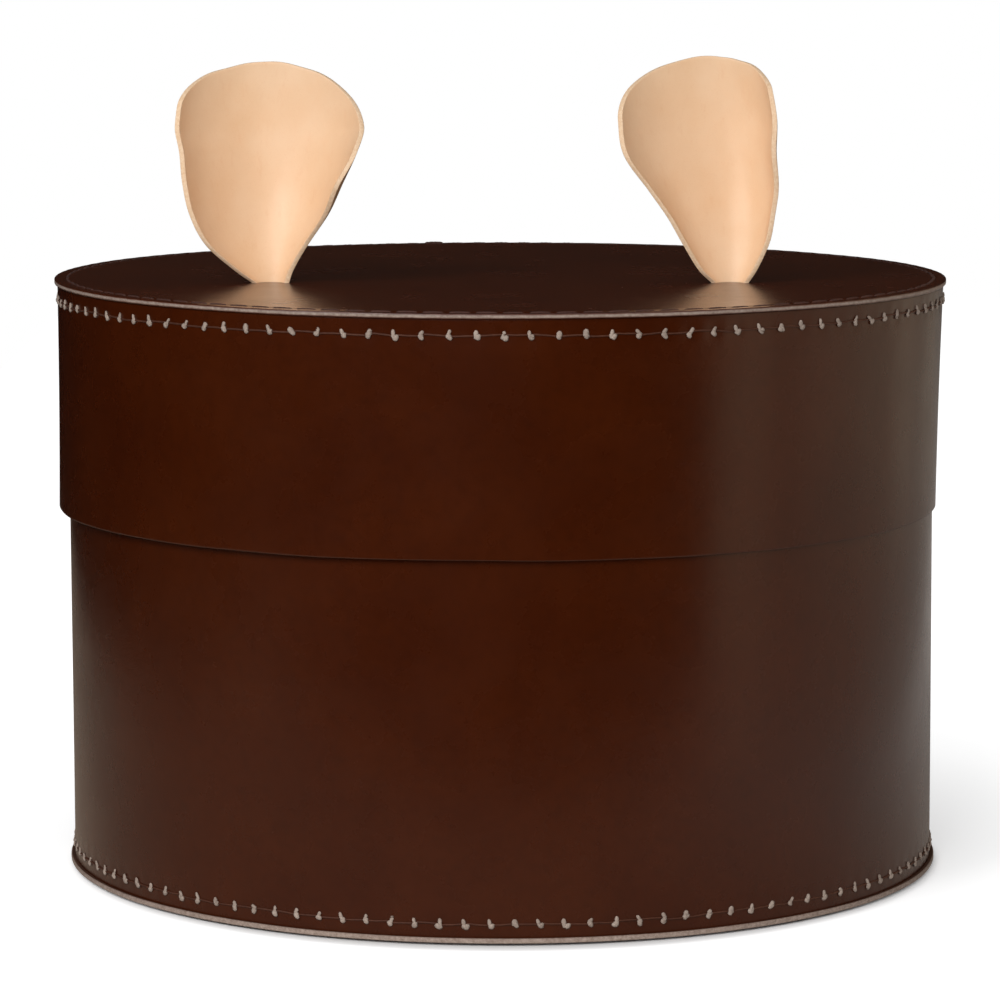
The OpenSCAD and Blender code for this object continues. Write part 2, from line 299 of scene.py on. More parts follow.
BROWN = brown_leather("brown_leather", WALL_FACE, WALL_GRAIN, WALL_ROUGH, WALL_IOR, WALL_RELIEF)
# The lid's top: a lighter copy of the wall's leather, its extra lightness painted light.
BROWN_TOP_PAINTED_LIGHT = brown_leather("brown_leather_top_painted_light", TOP_FACE_PAINTED_LIGHT, TOP_GRAIN_PAINTED_LIGHT, TOP_ROUGH, TOP_IOR, TOP_RELIEF)
TAN = tan_leather()
PALE_THREAD = thread("pale_thread", KNOT_TONES, KNOT_ROUGH)
BROWN_THREAD = thread("brown_thread", STITCH_TONES, STITCH_ROUGH)
LINK_THREAD = thread("link_thread", LINK_TONES, STITCH_ROUGH)


# Mesh building
CORNER_STEPS = 3
EDGE_SUPPORT = 0.35 * MM
LOW_EDGE_FLESH = 0.5
LAP_STEP = 0.16 * MM
LAP_PAIR, LAP_CLEAR = 0.0002, 0.002


def piece(name, points, faces, body, slot, material, nodes, values=None):
    """A smooth-shaded mesh piece that rides on a body and stands for CAD nodes."""
    mesh = bpy.data.meshes.new(name)
    mesh.from_pydata([tuple(p) for p in points], [], [tuple(int(i) for i in f) for f in faces])
    mesh.update()
    for key, numbers in (values or {}).items():
        layer = mesh.attributes.new(key, "FLOAT", "POINT")
        layer.data.foreach_set("value", np.asarray(numbers, dtype=np.float32))
    mesh.polygons.foreach_set("use_smooth", [True] * len(mesh.polygons))
    mesh.materials.append(material)
    thing = bpy.data.objects.new(name, mesh)
    bpy.context.collection.objects.link(thing)
    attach(thing, body)
    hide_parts(*nodes)


def corner(r, z, sr, sz, size=EDGE_R):
    """Rounded corner of a section, from the side face to the end face."""
    turn = [math.pi / 2 * (i + 1) / (CORNER_STEPS + 1) for i in range(CORNER_STEPS)]
    return [(r - sr * size * (1 - math.cos(t)), z - sz * size * (1 - math.sin(t))) for t in turn]


def ring_section(r0, r1, z0, z1, rows):
    """Closed section of a rolled strip, with how much flesh side each point is."""
    low_end, high_end = z0 + EDGE_R, z1 - EDGE_R
    up = np.linspace(low_end + EDGE_SUPPORT, high_end - EDGE_SUPPORT, rows)
    up = np.concatenate([[low_end], up, [high_end]])
    outer = [(r1, z, 0) for z in up]
    top = [(r, z, 0) for r, z in corner(r1, z1, 1, 1)]
    top += [(r1 - EDGE_R, z1, 0), (r0 + EDGE_R, z1, 0)]
    top += [(r, z, 1) for r, z in reversed(corner(r0, z1, -1, 1))]
    inner = [(r0, z, 1) for z in up[::-1]]
    low = [(r, z, 1) for r, z in corner(r0, z0, -1, -1)]
    low += [(r0 + EDGE_R, z0, 0), (r1 - EDGE_R, z0, 0)]
    low += [(r, z, LOW_EDGE_FLESH) for r, z in reversed(corner(r1, z0, 1, -1))]
    return outer + top + inner + low


def seam_angle(count, start, i):
    """Angle of stitch i of a round seam."""
    return math.radians(90 + start) + (i + 0.5) * TURN / count


def sew_pull(angle, count, start):
    """1 at a stitch hole, 0 half way between two."""
    phase = (angle - math.radians(90 + start)) * count
    return 0.5 - 0.5 * np.cos(phase)


def ring_angles(segments, lap_side):
    """Angles round a strip, with a close pair at the lap's step."""
    even = np.linspace(0, TURN, segments, endpoint=False)
    step = math.pi / 2 + lap_side * LAP_LEN / 2 / BASE_R
    extra = np.array([step - LAP_PAIR, step + LAP_PAIR])
    keep = even[np.abs(even - step) > LAP_CLEAR]
    return np.sort(np.concatenate([keep, extra])), step


def strip(name, r, z0, z1, rows, segments, body, nodes, shape, lap_side):
    """A leather strip rolled to a ring; shape moves its points."""
    section = np.array(ring_section(r - WALL_T, r, z0, z1, rows))
    angles, step = ring_angles(segments, lap_side)
    count, ring = len(angles), len(section)
    a = np.repeat(angles, ring)
    rr = np.tile(section[:, 0], count)
    zz = np.tile(section[:, 1], count)
    mid = r - WALL_T / 2
    past = (a - step) * -lap_side * r
    lap = np.where((past > 0) & (past < LAP_LEN), LAP_STEP * (1 - past / LAP_LEN), 0)
    rr = rr - lap * np.where(rr > mid, 1, 0)
    rr, zz = shape(a, rr, zz)
    points = np.stack([rr * np.cos(a), rr * np.sin(a), zz], 1)
    faces = []
    for i in range(count):
        j = (i + 1) % count
        for k in range(ring):
            m = (k + 1) % ring
            faces.append((i * ring + k, j * ring + k, j * ring + m, i * ring + m))
    values = {"flesh": np.tile(section[:, 2], count)}
    piece(name, points, faces, body, "brown_leather", BROWN, nodes, values)


def soft_waves(a, z, seed):
    """Slow unevenness of a hand-rolled wall, about one unit high."""
    k = np.random.default_rng(seed).uniform(0, TURN, 6)
    return (0.4 * np.sin(3 * a + k[0]) + 0.3 * np.sin(5 * a + k[1] + 20 * z)
            + 0.2 * np.sin(9 * a + k[2] - 35 * z) + 0.15 * np.sin(14 * a + k[3] + 60 * z)
            + 0.1 * np.sin(23 * a + k[4] - 50 * z))


# Walls: lean, fit, the line that a seam draws in, and waves, each with its seed
LID_LEAN = -0.75 * MM
BASE_LEAN = 0.55 * MM
FIT_CLEARANCE = 0.16 * MM
DIP_DEPTH, DIP_WIDTH = 0.16 * MM, 1.6 * MM
SKIRT_IN, TOP_OUT = 0.25 * MM, 0.6 * MM
LID_WAVE, LID_WAVE_SEED, LID_WAVE_REACH = 0.12 * MM, 3, 1.15
SKIRT_WAVE, SKIRT_SEED, SKIRT_FADE = 0.25 * MM, 11, 8
BASE_WAVE, BASE_SEED = 0.1 * MM, 5
LID_ROWS, LID_SEGMENTS = 40, 720
BASE_ROWS, BASE_SEGMENTS = 72, 600


def base_lean(z):
    """How far to the right the base stands at a height."""
    return BASE_LEAN * (1 - z / TOP_IN)


def sewn_dip(z, seam_z, pull):
    """How far a seam draws a wall in at a height."""
    return DIP_DEPTH * np.exp(-((z - seam_z) / DIP_WIDTH) ** 2) * pull


def lid_wall_shape(a, r, z):
    up = (z - SKIRT_Z) / (TOP_IN - SKIRT_Z)
    flare = TOP_OUT * up ** 2 - SKIRT_IN
    wave = soft_waves(a, z, LID_WAVE_SEED) * LID_WAVE * (LID_WAVE_REACH - up)
    dip = sewn_dip(z, BOX_H - SEAM_DROP, sew_pull(a, LID_COUNT, LID_SEAM_START))
    edge = soft_waves(a, 0 * z, SKIRT_SEED) * SKIRT_WAVE * np.clip(1 - SKIRT_FADE * up, 0, 1)
    lean = LID_LEAN * (1 - up) * np.cos(a)
    clear = BASE_R + base_lean(z) * np.cos(a) + FIT_CLEARANCE
    return np.maximum(r + flare + wave - dip + lean, clear), z + edge


def base_wall_shape(a, r, z):
    dip = sewn_dip(z, SEAM_DROP, sew_pull(a, BASE_COUNT, 0))
    return r + soft_waves(a, z, BASE_SEED) * BASE_WAVE - dip + base_lean(z) * np.cos(a), z


strip("lid_wall_leather", LID_R, SKIRT_Z, TOP_IN, LID_ROWS, LID_SEGMENTS,
      "lid", ["lid_wall"], lid_wall_shape, 1)
strip("base_wall_leather", BASE_R, FLOOR_T, TOP_IN, BASE_ROWS, BASE_SEGMENTS,
      "base", ["base_wall"], base_wall_shape, -1)


# How raw a disc's edge is: lower corner, four levels of the side, upper corner
TOP_EDGE_RAW = (0, 0.5, 1, 1, 0.5, 0)
FLOOR_EDGE_RAW = (1, 1, 1, 1, 1, 0.8)
FLOOR_EDGE_R = 0.3 * MM
# Rings of a disc's mesh: from the middle to the seam, over it, and on to the rim
DISC_MIDDLE, DISC_RINGS = 2 * MM, 40
BEFORE_SEAM, PAST_SEAM = 3 * MM, 2 * MM
SEAM_RINGS = np.array([-1.6, -1.1, -0.7, -0.35, 0, 0.35, 0.7, 1.1, 1.6]) * MM
STITCH_SEGMENTS = 6
FACE_LEVEL = 0.02 * MM
# Groove of the lid's seam, deeper at a hole, and the half width of the base's channel
GROOVE_W, GROOVE_DEPTH, GROOVE_PULL = 0.75 * MM, 0.1 * MM, 0.14 * MM
CHANNEL_W = 0.7 * MM
# Rim outside the seam: where it begins, its waves, drop, pull and inset
RIM_FROM, RIM_BLEND = 0.5 * MM, 1.5 * MM
RIM_WAVE, RIM_SEED, RIM_REACH_SEED = 0.06 * MM, 17, 21
RIM_DROP, RIM_PULL, RIM_INSET = 0.07 * MM, 0.04 * MM, 1.6
FLOOR_RIM_LIFT, FLOOR_RIM_WAVE, FLOOR_RIM_SEED = 0.55 * MM, 0.15, 29


def disc(name, r, z0, z1, seam_r, count, start, up, body, nodes, material):
    """A leather disc with a pale cut edge and a sewn groove on its outer face."""
    low_round, rim_lift, shift, edge_raw = EDGE_R, 0.0, 0.0, TOP_EDGE_RAW
    if up < 0:
        low_round, rim_lift, shift, edge_raw = FLOOR_EDGE_R, FLOOR_RIM_LIFT, BASE_LEAN, FLOOR_EDGE_RAW
    rings = np.sort(np.concatenate([
        np.linspace(DISC_MIDDLE, seam_r - BEFORE_SEAM, DISC_RINGS), seam_r + SEAM_RINGS,
        np.linspace(seam_r + PAST_SEAM, r - EDGE_R - EDGE_SUPPORT, 3), [r - EDGE_R]
    ]))
    low = [(q, z0, 0, 0 if up < 0 else 1) for q in rings if q <= r - low_round]
    side = [(q, z, edge_raw[0], 0) for q, z in reversed(corner(r, z0, 1, -1, low_round))]
    levels = np.linspace(z0 + low_round, z1 - EDGE_R, 4)
    side += [(r, z, pale, 0) for z, pale in zip(levels, edge_raw[1:5])]
    side += [(q, z, edge_raw[5], 0) for q, z in corner(r, z1, 1, 1)]
    high = [(q, z1, 0, 0 if up > 0 else 1) for q in rings[::-1]]
    section = np.array(low + side + high)
    ring, turns = len(section), count * STITCH_SEGMENTS
    a = np.repeat(np.arange(turns) * TURN / turns + math.radians(90 + start), ring)
    rr = np.tile(section[:, 0], turns)
    zz = np.tile(section[:, 1], turns)
    flat = 0 * zz
    pull = sew_pull(a, count, start)
    outer_face = np.abs(zz - (z1 if up > 0 else z0)) < FACE_LEVEL
    if up > 0:
        groove = np.exp(-((rr - seam_r) / GROOVE_W) ** 2) * (GROOVE_DEPTH + GROOVE_PULL * pull)
    else:
        groove = np.exp(-((rr - seam_r) / CHANNEL_W) ** 4) * CHANNEL
    zz = np.where(outer_face, zz - up * groove, zz)
    rim = np.clip((rr - (seam_r + RIM_FROM)) / RIM_BLEND, 0, 1)
    if up > 0:
        zz = zz + rim * (soft_waves(a, flat, RIM_SEED) * RIM_WAVE - RIM_DROP - RIM_PULL * pull)
    zz = zz + rim * rim_lift * (1 + FLOOR_RIM_WAVE * soft_waves(a, flat, FLOOR_RIM_SEED))
    rr = rr + rim * (soft_waves(a, flat, RIM_REACH_SEED) - RIM_INSET) * RIM_WAVE
    points = np.stack([rr * np.cos(a) + shift, rr * np.sin(a), zz], 1)
    faces = []
    for i in range(turns):
        j = (i + 1) % turns
        for k in range(ring - 1):
            faces.append((i * ring + k, j * ring + k, j * ring + k + 1, i * ring + k + 1))
    faces.append([i * ring for i in range(turns)][::-1])
    faces.append([i * ring + ring - 1 for i in range(turns)])
    values = {"raw": np.tile(section[:, 2], turns), "flesh": np.tile(section[:, 3], turns)}
    piece(name, points, faces, body, "brown_leather", material, nodes, values)


disc("lid_disc_leather", LID_DISC_R, TOP_IN, BOX_H, LID_R - RING_IN, LID_COUNT, LID_SEAM_START, 1,
     "lid", ["lid_disc"], BROWN_TOP_PAINTED_LIGHT)
disc("base_disc_leather", BASE_DISC_R, 0.0, FLOOR_T, BASE_R - SEAM_IN, BASE_COUNT, 0, -1,
     "base", ["base_disc"], BROWN)


# Sewing threads: sides of the mesh, plies and twist
KNOT_PLIES = (8, 2, 1.2)
LINK_PLIES = (6, 2, 1.2)
STITCH_PLIES = (10, 3, 1.4)
PLY_RIPPLE = 0.13
STRAND_END = 0.02
STRAND_ASIDE = (0.31, 0.17, 0.94)


def strand(path, radius, sides, plies, twist):
    """Points and faces of a short twisted thread along a path, with rounded ends."""
    path = np.asarray(path, float)
    n = len(path)
    tangent = np.gradient(path, axis=0)
    tangent /= np.linalg.norm(tangent, axis=1)[:, None]
    side = np.cross(tangent, STRAND_ASIDE)
    side /= np.linalg.norm(side, axis=1)[:, None]
    other = np.cross(tangent, side)
    s = np.concatenate([[0], np.cumsum(np.linalg.norm(np.diff(path, axis=0), axis=1))])
    inward = np.minimum(s, s[-1] - s) / radius
    taper = np.sqrt(np.clip(1 - (1 - np.clip(inward, STRAND_END, 1)) ** 2, STRAND_END, 1))
    turn = np.arange(sides) * TURN / sides
    phase = s[:, None] / radius * twist / 2
    ripple = 1 + PLY_RIPPLE * np.cos(plies * (turn[None, :] + phase))
    rad = radius * taper[:, None] * ripple
    points = (path[:, None, :] + rad[..., None] * (np.cos(turn)[None, :, None] * side[:, None, :]
              + np.sin(turn)[None, :, None] * other[:, None, :])).reshape(-1, 3)
    faces = []
    for i in range(n - 1):
        for k in range(sides):
            m = (k + 1) % sides
            faces.append((i * sides + k, i * sides + m, (i + 1) * sides + m, (i + 1) * sides + k))
    faces.append(tuple(range(sides))[::-1])
    faces.append(tuple((n - 1) * sides + k for k in range(sides)))
    return points, faces


def joined(parts):
    """Several meshes as one list of points and one list of faces."""
    points, faces, offset = [], [], 0
    for p, f in parts:
        points.append(p)
        faces += [tuple(i + offset for i in face) for face in f]
        offset += len(p)
    return np.concatenate(points), faces


def on_wall(r, angle, along, z, out):
    """Point on a round wall: along is the distance round it from angle, out the height over it."""
    a = angle + np.asarray(along) / r
    q = r + np.asarray(out)
    return np.stack([q * np.cos(a), q * np.sin(a), np.zeros_like(a) + z], -1)


# Knots as strokes: lean in radians, half length, sideways and upward shift, thickness
KNOT_FORMS = (
    ((-0.4, 0.75, -0.2, 0.15, 0.8), (0.6, 0.35, 0.2, -0.35, 1.3)),
    ((0.5, 0.55, 0.05, 0.4, 0.75), (-0.5, 0.5, -0.05, -0.3, 1.25)),
    ((-0.1, 0.8, -0.2, 0.05, 1.0), (0.9, 0.4, 0.25, -0.35, 1.25)),
    ((0.15, 0.8, 0.0, 0.05, 1.2), (1.3, 0.5, 0.05, -0.1, 0.9)),
    ((-0.6, 0.5, 0.1, 0.4, 0.85), (0.45, 0.55, 0.05, -0.3, 1.25)),
    ((-0.3, 0.7, -0.15, 0.2, 0.85), (1.0, 0.45, 0.2, -0.45, 1.3), (0.2, 0.4, -0.2, -0.3, 0.9)),
)
KNOT_THREAD = 0.5 * MM
KNOT_FLAT = 0.7
KNOT_STEPS = 9
# Spread from knot to knot; heights over the wall in millimetres
KNOT_SIZES = (0.85, 1.12)
KNOT_SAME_WAY = 0.7
KNOT_TILT, KNOT_SHIFT = 0.3, 0.06
KNOT_ARCH, KNOT_SINK, KNOT_RISE = 0.36, 0.08, (-0.04, 0.06)
# Link thread: thickness, height over the wall, and how far its ends and middle wander in millimetres
LINK_R, LINK_OUT = 0.22 * MM, 0.08 * MM
LINK_ENDS, LINK_SAG = (-0.35, 0.25), (-0.15, 0.1)
# Stitches: height and depth in their groove, and sideways drift, in millimetres
STITCH_STEPS = 13
STITCH_ENDS = (0.03, 0.97)
STITCH_ARCH, STITCH_SINK, CLOSING_SINK = 0.2, 0.38, 0.14
STITCH_DRIFT = 0.12
STITCH_SIZES, CLOSING_SIZE = (0.9, 1.05), 0.95


def knot(r, angle, z):
    """A small knot of crossing strokes of thread on the wall."""
    form = KNOT_FORMS[int(rng.integers(0, len(KNOT_FORMS)))]
    size = rng.uniform(*KNOT_SIZES) * KNOT_LEN / 2
    flip = 1 if rng.random() < KNOT_SAME_WAY else -1
    t = np.linspace(-1, 1, KNOT_STEPS)
    arch = KNOT_ARCH * np.sqrt(np.clip(1 - t ** 2, 0, 1))
    parts = []
    for lean, length, dx, dz, thick in form:
        tilt = lean + rng.normal(0, KNOT_TILT)
        along = (math.sin(tilt) * t * length + dx + rng.normal(0, KNOT_SHIFT)) * size * flip
        up = (math.cos(tilt) * t * length + dz + rng.normal(0, KNOT_SHIFT)) * size
        out = (arch - KNOT_SINK + rng.uniform(*KNOT_RISE)) * MM
        points, faces = strand(on_wall(r, angle, along, z + up, out), KNOT_THREAD * thick, *KNOT_PLIES)
        q = np.hypot(points[:, 0], points[:, 1])
        points[:, :2] *= ((r + (q - r) * KNOT_FLAT) / q)[:, None]
        parts.append((points, faces))
    return parts


def link(r, angle, pitch, z):
    """The thin thread from one knot to the next, lying on the wall."""
    t = np.linspace(0, 1, KNOT_STEPS)
    a, b = rng.uniform(*LINK_ENDS, 2) * MM
    sag = rng.uniform(*LINK_SAG) * MM
    height = z + a + (b - a) * t + sag * np.sin(math.pi * t)
    return strand(on_wall(r, angle, t * pitch, height, LINK_OUT), LINK_R, *LINK_PLIES)


def stitch_rise(t, sink):
    """Height of a stitch along its length, steep at both ends."""
    return (STITCH_ARCH * np.sqrt(np.clip(np.sin(math.pi * np.clip(t, *STITCH_ENDS)), 0, 1)) - sink) * MM


def dash(r, angle, length, z, up, lift=0.0):
    """A stitch lying half sunk in a disc's groove, its ends diving into their holes."""
    t = np.linspace(0, 1, STITCH_STEPS)
    out = stitch_rise(t, STITCH_SINK) + lift
    drift = rng.uniform(-STITCH_DRIFT, STITCH_DRIFT, 2) * MM
    radius = r + drift[0] + (drift[1] - drift[0]) * t
    a = angle + (t * length - STITCH_R) / r
    path = np.stack([radius * np.cos(a), radius * np.sin(a), z + up * out], 1)
    return strand(path, STITCH_R * rng.uniform(*STITCH_SIZES), *STITCH_PLIES)


# Round seams: how far their parts stand out or lie in, and knots' unevenness in millimetres
LID_SEAM_OUT = 0.25 * MM
LID_SINK, BASE_SINK = 0.05 * MM, 0.02 * MM
KNOT_IN, LINK_IN = 0.1 * MM, 0.02 * MM
KNOT_JITTER, KNOT_SWAY = 0.12, 0.15
DOUBLED_STITCH, DOUBLED_LIFT = 2, 0.22 * MM


def corner_seam(prefix, r, ring_r, count, start, face_z, side_z, up, body, nodes, shift=0.0):
    """Knots and link thread on a wall, and dashes on its disc."""
    pitch = TURN * r / count
    sink = LID_SINK if up > 0 else BASE_SINK
    knots, links, dashes = [], [], []
    for i in range(count):
        angle = seam_angle(count, start, i)
        z = side_z + rng.uniform(-KNOT_JITTER, KNOT_JITTER) * MM
        knots += knot(r - KNOT_IN, angle + rng.uniform(-KNOT_SWAY, KNOT_SWAY) * MM / r, z)
        links.append(link(r - LINK_IN, angle, pitch, side_z))
        dashes.append(dash(ring_r, angle, pitch - STITCH_SPACE, face_z - up * sink, up))
    if up > 0:
        doubled = seam_angle(count, start, DOUBLED_STITCH)
        dashes.append(dash(ring_r, doubled, pitch - STITCH_SPACE, face_z, up, DOUBLED_LIFT))
    for ending, parts, slot, material, node in (
        ("_side_knots", knots, "pale_thread", PALE_THREAD, nodes[0]),
        ("_disc_stitches", dashes, "brown_thread", BROWN_THREAD, nodes[0]),
        ("_link_thread", links, "brown_thread", LINK_THREAD, nodes[1]),
    ):
        points, faces = joined(parts)
        points[:, 0] += shift
        piece(prefix + ending, points, faces, body, slot, material, [node])


corner_seam("lid_seam", LID_R + LID_SEAM_OUT, LID_R - RING_IN, LID_COUNT, LID_SEAM_START, BOX_H,
            BOX_H - SEAM_DROP, 1, "lid", ["lid_seam_stitches", "lid_seam_side_thread"])
corner_seam("base_seam", BASE_R, BASE_R - SEAM_IN, BASE_COUNT, 0, CHANNEL, SEAM_DROP, -1,
            "base", ["base_seam_stitches", "base_seam_side_thread"], base_lean(SEAM_DROP))


def closing_seam(name, r, z0, z1, side, body, node):
    """The upright row at the back that closes a wall's lap, outside and inside."""
    angle = math.pi / 2 - side * BACK_OFFSET / r
    count = int((z1 - z0) / BACK_PITCH + 1e-6)
    t = np.linspace(0, 1, STITCH_STEPS)
    rise = stitch_rise(t, CLOSING_SINK)
    parts = []
    for i in range(count):
        z = z0 + i * BACK_PITCH - STITCH_R + t * (BACK_PITCH - STITCH_SPACE)
        for q, way in ((r, 1), (r - WALL_T, -1)):
            drift = rng.uniform(-STITCH_DRIFT, STITCH_DRIFT) * MM * (t - 0.5)
            path = on_wall(q, angle, drift, z, way * rise)
            parts.append(strand(path, STITCH_R * CLOSING_SIZE, *STITCH_PLIES))
    piece(name, *joined(parts), body, "brown_thread", BROWN_THREAD, [node])


SEAM_CLEAR = SEAM_DROP + KNOT_LEN
closing_seam("base_closing_thread", BASE_R, SEAM_CLEAR, TOP_IN - SEAM_CLEAR, -1,
             "base", "base_closing_stitches")
closing_seam("lid_closing_thread", LID_R, SKIRT_Z + SEAM_DROP, BOX_H - SEAM_CLEAR, 1,
             "lid", "lid_closing_stitches")

# Ears
EAR_T = 1.2 * MM
STEM_W = 8.8 * MM
EAR_W = 38.8 * MM
EAR_H = 53.6 * MM
LEFT_SHARE = 0.975
EAR_X = 54.6 * MM
EAR_Y = 26 * MM
STEM_CURL = 80
STEM_BACK = STEM_W / 2 / math.sin(math.radians(STEM_CURL)) - EAR_T
# Share of the height, inner reach, outer reach, spine place, spine depth, inner curl and outer curl
RIGHT_ROWS = np.array([
    [0, 0, 0, 0, 0, 80, 80],
    [0.06, 0.085, 0.052, 0, 0.01, 82, 82],
    [0.18, 0.19, 0.127, 0, 0.04, 84, 84],
    [0.30, 0.275, 0.17, -0.01, 0.07, 84, 86],
    [0.42, 0.38, 0.2, -0.02, 0.10, 80, 90],
    [0.58, 0.515, 0.205, -0.04, 0.12, 74, 102],
    [0.74, 0.53, 0.225, -0.06, 0.13, 66, 96],
    [1, 0.53, 0.19, -0.09, 0.12, 56, 70],
])
LEFT_ROWS = np.array([
    [0, 0, 0, 0, 0, 80, 80],
    [0.06, 0.03, 0.103, 0, 0.01, 84, 82],
    [0.18, 0.137, 0.264, 0.01, 0.04, 88, 82],
    [0.32, 0.265, 0.364, 0.01, 0.08, 98, 80],
    [0.46, 0.355, 0.405, 0.01, 0.11, 104, 78],
    [0.60, 0.445, 0.42, 0.01, 0.13, 90, 76],
    [0.72, 0.49, 0.445, 0.01, 0.14, 70, 72],
    [1, 0.45, 0.4, 0, 0.14, 54, 62],
])
# Top edge: share of the height at the inner and the outer side, and how full its curve is there
RIGHT_TOP = (0.74, 0.87, 0.7, 0.75)
LEFT_TOP = (0.7, 0.81, 0.72, 0.6)
RIGHT_SEED, LEFT_SEED = 31, 43
EAR_COLUMNS = 96
EAR_LEVELS = 84
COLUMN_BUNCHING = 0.86
RIM_STEPS = 7
RIM_OUT = 0.15
RIM_SQUARE, RIM_BULGE = 0.7, 0.6
EAR_SINK = 0.4 * MM
EAR_UNEVEN = 0.004
EAR_WAVE = 0.22 * MM
# How fast rim and waves set in above the foot, per share of the height
RIM_ONSET, WAVE_ONSET = 8, 3


def smooth_rows(rows, x):
    """Smooth curve through rows at places x, all columns."""
    i = np.clip(np.searchsorted(rows[:, 0], x, side="right") - 1, 0, len(rows) - 2)
    slopes = np.array([
        (rows[min(k + 1, len(rows) - 1)] - rows[max(k - 1, 0)])
        / (rows[min(k + 1, len(rows) - 1), 0] - rows[max(k - 1, 0), 0]) for k in range(len(rows))
    ])
    w = (rows[i + 1, 0] - rows[i, 0])[:, None]
    s = np.clip((x - rows[i, 0])[:, None] / w, 0, 1)
    return ((2 * s ** 3 - 3 * s ** 2 + 1) * rows[i] + (s ** 3 - 2 * s ** 2 + s) * slopes[i] * w
            + (3 * s ** 2 - 2 * s ** 3) * rows[i + 1] + (s ** 3 - s ** 2) * slopes[i + 1] * w)


def ear_surface(rows, height, u, s, out):
    """Point of the curled sheet at column u and height share s, out of it by a distance."""
    v = smooth_rows(rows, s)
    inner = u < 0
    rim = RIM_OUT * EAR_T * np.minimum(1, s * RIM_ONSET)
    reach = STEM_W / 2 + EAR_W * np.where(inner, v[:, 1], v[:, 2]) - rim
    curl = np.radians(np.where(inner, v[:, 5], v[:, 6]))
    r = reach / np.sin(np.minimum(curl, math.pi / 2)) - EAR_T
    a = u * curl
    grow = r + out
    x = EAR_W * v[:, 3] + grow * np.sin(a)
    y = EAR_W * v[:, 4] + STEM_BACK + grow * np.cos(a) - r
    return np.stack([x, y, s * height], 1)


def top_edge(top, u):
    """Share of the height that the ear's edge reaches at column u."""
    inner, outer, inner_full, outer_full = top
    low = np.where(u < 0, inner, outer)
    full = np.where(u < 0, inner_full, outer_full)
    return low + (1 - low) * np.power(np.clip(1 - u * u, 0, 1), full)


def ear(name, side, rows, top, height, seed):
    """An ear: a cupped sheet, its back and a rounded rim, reaching down through the lid."""
    k = np.random.default_rng(seed).uniform(0, TURN, 8)
    columns, levels = EAR_COLUMNS + 1, EAR_LEVELS + 2
    half_turn = math.pi / 2 * COLUMN_BUNCHING
    u = np.tile(np.sin(np.linspace(-half_turn, half_turn, columns)) / math.sin(half_turn), levels)
    v = np.repeat(np.concatenate([[0], np.linspace(0, 1, levels - 1)]), columns)
    uneven = 1 - EAR_UNEVEN * (1 + np.sin(9 * u + k[0]) * 0.6 + np.sin(17 * u + k[1]) * 0.3)
    s = v * top_edge(top, u) * uneven * (1 - RIM_OUT * EAR_T / height)
    wave = (0.5 * np.sin(4 * u + 5 * s + k[2]) + 0.3 * np.sin(9 * u - 7 * s + k[3])
            + 0.2 * np.sin(15 * u + 13 * s + k[4])) * EAR_WAVE * np.minimum(1, WAVE_ONSET * s)
    front = ear_surface(rows, height, u, s, wave)
    back = ear_surface(rows, height, u, s, wave + EAR_T)
    for sheet in (front, back):
        sheet[:columns, 2] = TOP_IN - BOX_H - EAR_SINK
    grid = np.arange(levels * columns).reshape(levels, columns)
    loop = np.concatenate([grid[:, 0], grid[-1, 1:], grid[:-1, -1][::-1]])
    along = np.gradient(front[loop] + back[loop], axis=0)
    half = (back[loop] - front[loop]) / 2
    outward = np.cross(along, half)
    outward /= np.linalg.norm(outward, axis=1)[:, None]
    mid = (front[loop] + back[loop]) / 2
    if ((mid - front.mean(axis=0)) * outward).sum() < 0:
        outward = -outward
    points = [front, back]
    for i in range(1, RIM_STEPS + 1):
        t = math.pi * i / (RIM_STEPS + 1)
        across = math.copysign(abs(math.cos(t)) ** RIM_SQUARE, math.cos(t))
        points.append(mid - half * across + outward * EAR_T * RIM_OUT * math.sin(t) ** RIM_BULGE)
    n, rim = levels * columns, len(loop)
    faces = []
    for j in range(levels - 1):
        for i in range(columns - 1):
            a, b, c, d = grid[j, i], grid[j, i + 1], grid[j + 1, i + 1], grid[j + 1, i]
            faces.append((a, b, c, d))
            faces.append((d + n, c + n, b + n, a + n))
    chain = [loop] + [2 * n + i * rim + np.arange(rim) for i in range(RIM_STEPS)] + [loop + n]
    for lower, upper in zip(chain[:-1], chain[1:]):
        for i in range(rim - 1):
            faces.append((lower[i], lower[i + 1], upper[i + 1], upper[i]))
    inner_end = [ring[0] for ring in chain]
    outer_end = [ring[-1] for ring in chain]
    faces.append(inner_end + list(grid[0, 1:] + n) + outer_end[-2::-1] + list(grid[0, 1:-1][::-1]))
    points = np.concatenate(points)
    if side < 0:
        points[:, 0] *= -1
        faces = [f[::-1] for f in faces]
    points = points + np.array([side * EAR_X, -EAR_Y, BOX_H])
    raw = np.concatenate([np.zeros(2 * n), np.ones(RIM_STEPS * rim)])
    flesh = np.concatenate([np.zeros(n), np.ones(n), np.zeros(RIM_STEPS * rim)])
    node = name.replace("_leather", "")
    piece(name, points, faces, "lid", "natural_leather", TAN, [node], {"raw": raw, "flesh": flesh})


ear("ear_right_leather", 1, RIGHT_ROWS, RIGHT_TOP, EAR_H, RIGHT_SEED)
ear("ear_left_leather", -1, LEFT_ROWS, LEFT_TOP, EAR_H * LEFT_SHARE, LEFT_SEED)

for node in ("ear_patch_left", "ear_patch_right"):
    thing = frame["nodes"][node]
    thing.data.materials.clear()
    thing.data.materials.append(BROWN)


# Floor, surround and world
FLOOR_CORNERS = ((-0.4, -0.27), (1.4, -0.27), (1.4, 1.6), (-0.25, 1.6), (-0.25, 0.7), (-0.31, 0.34),
                 (-0.37, 0.1))
FLOOR_TONE = (0.9, 0.9, 0.9, 1)
# The floor's colour in the leather's reflections only, warmer and darker than its own: a painted
# reflection
FLOOR_TONE_IN_REFLECTIONS = (0.8, 0.66, 0.52, 1)
